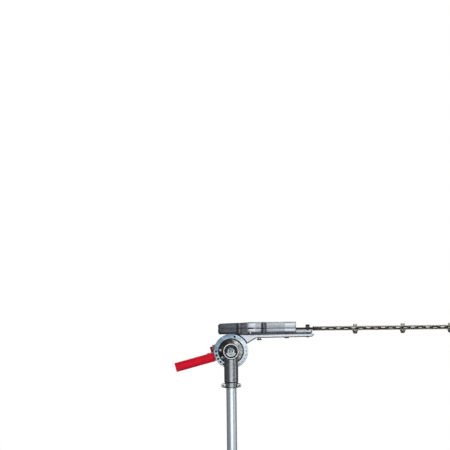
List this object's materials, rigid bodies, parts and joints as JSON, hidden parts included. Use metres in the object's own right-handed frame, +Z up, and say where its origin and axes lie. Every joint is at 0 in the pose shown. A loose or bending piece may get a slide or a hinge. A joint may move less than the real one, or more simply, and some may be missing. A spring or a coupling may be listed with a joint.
{
  "type": "articulating hedge trimmer head",
  "caption": "Tilting double-sided hedge cutter head on a pole, with right-angle gearbox, index plate, lock lever, red handle, gearcase and reciprocating blades.",
  "frame": {"origin": "centre of the pole tube's lower end, on the tube's axis", "axes": "+Z up the pole, +X along the cutter bar at rest, +Y along the tilt axis from the bearing boss towards the gearcase"},
  "size_m": [0.8094, 0.132, 0.7795],
  "materials": {
    "cast_aluminium": "as-cast, dark and slightly oily",
    "anodised_tube": "drawn tube, clear anodised",
    "machined_steel": "turned and ground",
    "zinc_plate": "zinc plated",
    "black_steel": "black oxide",
    "guide_bar_steel": "rolled, lightly oxidised",
    "blade_steel": "blackened with ground tooth edges",
    "bush_bronze": "sintered",
    "brass": "turned",
    "grip_red": "smooth moulded sleeve",
    "lever_red": "painted",
    "bush_plastic": "moulded"
  },
  "bodies": {
    "neck": {"pole_tube": "anodised_tube", "shaft_bush_lower": "bush_plastic", "shaft_bush_upper": "bush_plastic", "neck_housing": "cast_aluminium", "clamp_cap": "cast_aluminium", "clamp_bolt_left": "zinc_plate", "clamp_bolt_right": "zinc_plate", "index_plate": "zinc_plate", "plate_screw_1": "zinc_plate", "plate_screw_2": "zinc_plate", "plate_screw_3": "zinc_plate", "plate_screw_4": "zinc_plate", "front_bearing": "machined_steel", "rear_bearing": "machined_steel", "drive_bearing": "machined_steel", "front_circlip": "machined_steel", "pivot_nut": "machined_steel"},
    "drive_shaft": {"drive_shaft": "machined_steel", "drive_bevel": "machined_steel"},
    "cross_shaft": {"cross_shaft": "machined_steel", "shaft_end_bolt": "zinc_plate", "cross_bevel_front": "machined_steel", "cross_bevel_rear": "machined_steel"},
    "head": {"head_bracket": "cast_aluminium", "bracket_rear_cap": "cast_aluminium", "lower_case": "cast_aluminium", "upper_cover": "cast_aluminium", "grease_plug": "brass", "cover_screw_1": "black_steel", "cover_screw_2": "black_steel", "cover_screw_3": "black_steel", "cover_screw_4": "black_steel", "arm_screw_rear": "black_steel", "arm_screw_front": "black_steel", "head_bearing": "machined_steel", "head_shaft_bush": "bush_bronze", "crank_bush_lower": "bush_bronze", "crank_bush_upper": "bush_bronze", "top_guide_bar": "guide_bar_steel", "bottom_guide_bar": "guide_bar_steel", "nose_washer": "zinc_plate", "nose_bolt": "black_steel", "guide_bolt_1": "zinc_plate", "guide_bolt_2": "zinc_plate", "guide_bolt_3": "zinc_plate", "guide_bolt_4": "zinc_plate", "guide_nut_1": "zinc_plate", "guide_nut_2": "zinc_plate", "guide_nut_3": "zinc_plate", "guide_nut_4": "zinc_plate", "handle_tube": "machined_steel", "handle_grip": "grip_red", "lever_pin": "machined_steel", "lock_spring": "machined_steel"},
    "head_shaft": {"head_shaft": "machined_steel"},
    "crank": {"crank_gear": "machined_steel"},
    "upper_blade": {"upper_blade": "blade_steel"},
    "lower_blade": {"lower_blade": "blade_steel"},
    "lock_lever": {"lock_lever": "lever_red"},
    "lock_pin": {"lock_pin": "machined_steel"}
  },
  "joints": [
    {"name": "head_tilt", "type": "hinge", "parent": "neck", "child": "head", "pos_m": [0, 0, 0.7], "axis": [0, -1, 0], "range_deg": [0, 180]},
    {"name": "drive_spin", "type": "hinge", "parent": "neck", "child": "drive_shaft", "pos_m": [0, 0, 0], "axis": [0, 0, 1], "continuous": true},
    {"name": "cross_spin", "type": "hinge", "parent": "neck", "child": "cross_shaft", "pos_m": [0, 0, 0.7], "axis": [0, 1, 0], "continuous": true},
    {"name": "head_shaft_spin", "type": "hinge", "parent": "head", "child": "head_shaft", "pos_m": [0, 0.062, 0.7], "axis": [0, 0, 1], "continuous": true},
    {"name": "crank_spin", "type": "hinge", "parent": "head", "child": "crank", "pos_m": [0.038, 0.062, 0.7], "axis": [0, 0, 1], "continuous": true},
    {"name": "upper_blade_slide", "type": "slide", "parent": "head", "child": "upper_blade", "axis": [1, 0, 0], "range_m": [-0.00875, 0.00875]},
    {"name": "lower_blade_slide", "type": "slide", "parent": "head", "child": "lower_blade", "axis": [1, 0, 0], "range_m": [-0.00875, 0.00875]},
    {"name": "lever_squeeze", "type": "hinge", "parent": "head", "child": "lock_lever", "pos_m": [-0.05023, 0.048, 0.68654], "axis": [-0.2588, 0, 0.9659], "range_deg": [0, 12], "stiffness_Nm_per_rad": 2, "springref_deg": -5.73},
    {"name": "lock_pin_slide", "type": "slide", "parent": "head", "child": "lock_pin", "axis": [0, 1, 0], "range_m": [0, 0.0036]}
  ],
  "couplings": [
    {"joint": "cross_spin", "follows": "drive_spin", "ratio": 1},
    {"joint": "head_shaft_spin", "follows": "drive_spin", "ratio": 1},
    {"joint": "crank_spin", "follows": "drive_spin", "ratio": -0.2},
    {"joint": "lower_blade_slide", "follows": "upper_blade_slide", "ratio": -1},
    {"joint": "lock_pin_slide", "follows": "lever_squeeze", "m_per_rad": 0.0168}
  ]
}
